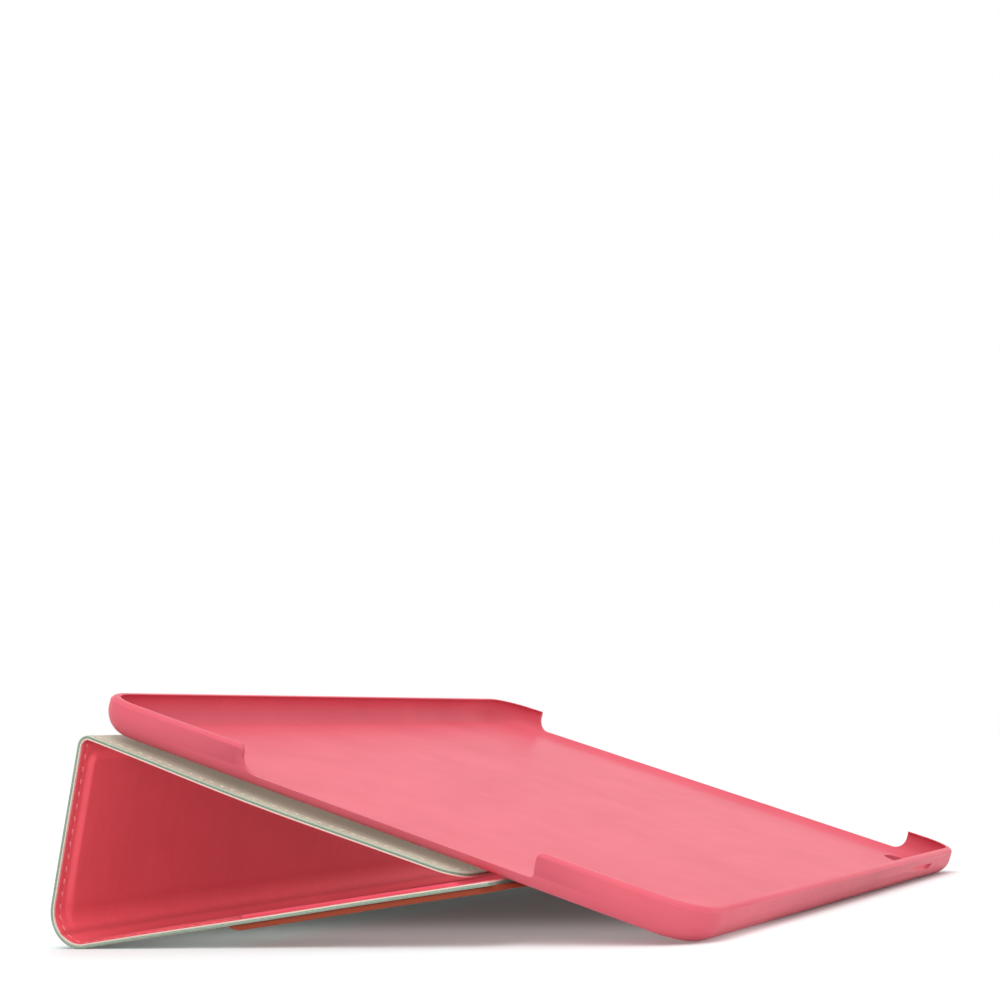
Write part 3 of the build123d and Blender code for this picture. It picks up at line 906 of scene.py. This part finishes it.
# ------------------------------------------------------------------ boards inside the sheet
def curved_blocks(name, blocks, mats):
    """Flat blocks (s0, s1, x0, x1, near, far) bent along the flap."""
    verts, faces, attr = [], [], []
    for s0, s1, x0, x1, near, far in blocks:
        base = len(verts)
        n = max(2, int((s1 - s0) / 3) + 1)
        m = max(2, int((x1 - x0) / 12) + 1)
        for off in (near, far):
            for i in range(n):
                for j in range(m):
                    sv, x = s0 + (s1 - s0) * i / (n - 1), x0 + (x1 - x0) * j / (m - 1)
                    p, nn = section(sv)
                    q = p + nn * (off + drift(sv, x))
                    verts.append((x * MM, q[0] * MM, q[1] * MM))
                    attr.append((x * MM, sv * MM, off * MM))

        def at(layer_i, i, j):
            return base + layer_i * n * m + i * m + j
        for i in range(n - 1):
            for j in range(m - 1):
                faces.append((at(0, i, j), at(0, i, j + 1), at(0, i + 1, j + 1), at(0, i + 1, j)))
                faces.append((at(1, i, j), at(1, i + 1, j), at(1, i + 1, j + 1), at(1, i, j + 1)))
        for j in range(m - 1):
            faces.append((at(0, 0, j), at(1, 0, j), at(1, 0, j + 1), at(0, 0, j + 1)))
            faces.append((at(0, n - 1, j), at(0, n - 1, j + 1), at(1, n - 1, j + 1), at(1, n - 1, j)))
        for i in range(n - 1):
            faces.append((at(0, i, 0), at(0, i + 1, 0), at(1, i + 1, 0), at(1, i, 0)))
            faces.append((at(0, i, m - 1), at(1, i, m - 1), at(1, i + 1, m - 1), at(0, i + 1, m - 1)))
    return mesh_object(name, verts, faces, mats, None, attr, True, 30)


z_board = skin_t + inter_t
fb_a, fb_b, bx = S4 + 5.0, S5 - 9.0, cover_h - board_inset
mag_s = S4 + flap_l - 15.0
blocks, edge_x = [], -bx
for mx in (-96.0, -72.0, 72.0, 96.0):
    blocks.append((mag_s - 2.5, mag_s + 2.5, edge_x, mx - 7.0, z_board, z_board + board_t))
    edge_x = mx + 7.0
blocks.append((mag_s - 2.5, mag_s + 2.5, edge_x, bx, z_board, z_board + board_t))
blocks.append((fb_a, mag_s - 2.5, -bx, bx, z_board, z_board + board_t))
blocks.append((mag_s + 2.5, fb_b, -bx, bx, z_board, z_board + board_t))
ob = curved_blocks("riser_inner_board", [(S2 + 3.0, S3 - 4.0, -bx, bx, z_board, z_board + board_t)], [mat_board])
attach(ob, "riser"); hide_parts("riser_board")
ob = curved_blocks("back_inner_board", [(stop_b + 5.0, back_l - 5.0, -bx, bx, z_board, z_board + back_board_t)], [mat_board])
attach(ob, "back_panel"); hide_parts("back_board")
ob = curved_blocks("flap_inner_board", blocks, [mat_board])
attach(ob, "flap"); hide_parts("flap_board")
ob = curved_blocks("flap_magnet_bars", [(mag_s - 2.5, mag_s + 2.5, mx - 7.0, mx + 7.0, z_board + 0.1, z_board + 1.1)
                                        for mx in (-96.0, -72.0, 72.0, 96.0)], [mat_magnet])
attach(ob, "flap"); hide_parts("flap_magnets")

# ------------------------------------------------------------------ CAD nodes that stay
for node, mat in {"anchor_tape": mat_tape}.items():
    o = frame["nodes"][node]
    o.data.materials.clear()
    o.data.materials.append(mat)

# ------------------------------------------------------------------ stage and light
k = Mat("pale_floor")
v = k.coords(None)
k.tint(k.noise(v, 3.0, 2.0), (0.665, 0.695, 0.695, 1), (0.68, 0.71, 0.71, 1))
k.set(Roughness=0.7, Specular_IOR_Level=0.25)
me = bpy.data.meshes.new("floor")
R = 60.0
me.from_pydata([(-R, -R, 0), (R, -R, 0), (R, R, 0), (-R, R, 0)], [], [(0, 1, 2, 3)])
me.materials.append(k.m)
floor = bpy.data.objects.new("floor", me)
scene.collection.objects.link(floor)
floor.location.z = -0.0001

world = bpy.data.worlds.new("studio")
scene.world = world
world.use_nodes = True
bg = world.node_tree.nodes["Background"]
bg.inputs["Color"].default_value = (1, 1, 1, 1)
bg.inputs["Strength"].default_value = 1.0


def softbox(name, loc, target, size, power, color=(1, 1, 1)):
    ld = bpy.data.lights.new(name, "AREA")
    ld.shape = "RECTANGLE"
    ld.size, ld.size_y = size
    ld.energy = power
    ld.color = color
    o = bpy.data.objects.new(name, ld)
    scene.collection.objects.link(o)
    o.location = loc
    o.rotation_mode = "QUATERNION"
    o.rotation_quaternion = (Vector(target) - Vector(loc)).to_track_quat("-Z", "Y")
    return o


def sun(name, direction, strength, angle):
    ld = bpy.data.lights.new(name, "SUN")
    ld.energy = strength
    ld.angle = math.radians(angle)
    o = bpy.data.objects.new(name, ld)
    scene.collection.objects.link(o)
    o.rotation_mode = "QUATERNION"
    o.rotation_quaternion = Vector(direction).to_track_quat("-Z", "Y")
    return o


def only_on(light, names):
    """The light falls on these objects only."""
    group = bpy.data.collections.new(light.name + "_receivers")
    for n in names:
        group.objects.link(bpy.data.objects[n])
    light.light_linking.receiver_collection = group


def shadowless(light):
    light.data.use_shadow = False
    light.data.cycles.cast_shadow = False


sun("overhead", (0.25, 0.1, -1.0), 0.9, 32)
softbox("left_softbox", (-0.80, -0.05, 0.85), (0.0, 0.0, 0.03), (0.7, 0.5), 1.3)

parts = [o.name for o in scene.objects if o.type == "MESH"]
inside = [n for n in parts if n.endswith("inner_lining") or n.endswith("inner_stitches") or n == "stop_plate_moulding"]
fill = sun("inside_fill", (0.45, 0.682, -0.567), 2.85, 40)
shadowless(fill)
only_on(fill, inside)
mouth = softbox("mouth_softbox", (-0.36, -0.10, 0.055), (0.0, 0.08, 0.03), (0.15, 0.10), 0.22)
only_on(mouth, inside)
cover_fill = sun("cover_fill", (0.5, 0.2, -0.8), 1.9, 40)
shadowless(cover_fill)
only_on(cover_fill, [n for n in parts if n.endswith("outer_skin") or n.endswith("outer_stitches")])
table_fill = sun("table_fill", (0.3, 0.3, -1.0), 0.30, 60)
shadowless(table_fill)
table_fill.data.cycles.use_multiple_importance_sampling = False
only_on(table_fill, ["floor"])
table_key = sun("table_key", (0.05, 0.05, -1.0), 0.65, 60)
only_on(table_key, ["floor"])
under = softbox("under_case_fill", (-0.092, -0.012, 0.030), (-0.092, -0.012, 0.0), (0.034, 0.17), 0.0104)
under.rotation_quaternion = (1.0, 0.0, 0.0, 0.0)
under.visible_camera = False
shadowless(under)
under.data.cycles.use_multiple_importance_sampling = False
only_on(under, ["floor"])

scene.view_settings.view_transform = "Standard"
scene.view_settings.look = "None"
scene.view_settings.exposure = 0.0
scene.view_settings.gamma = 1.0
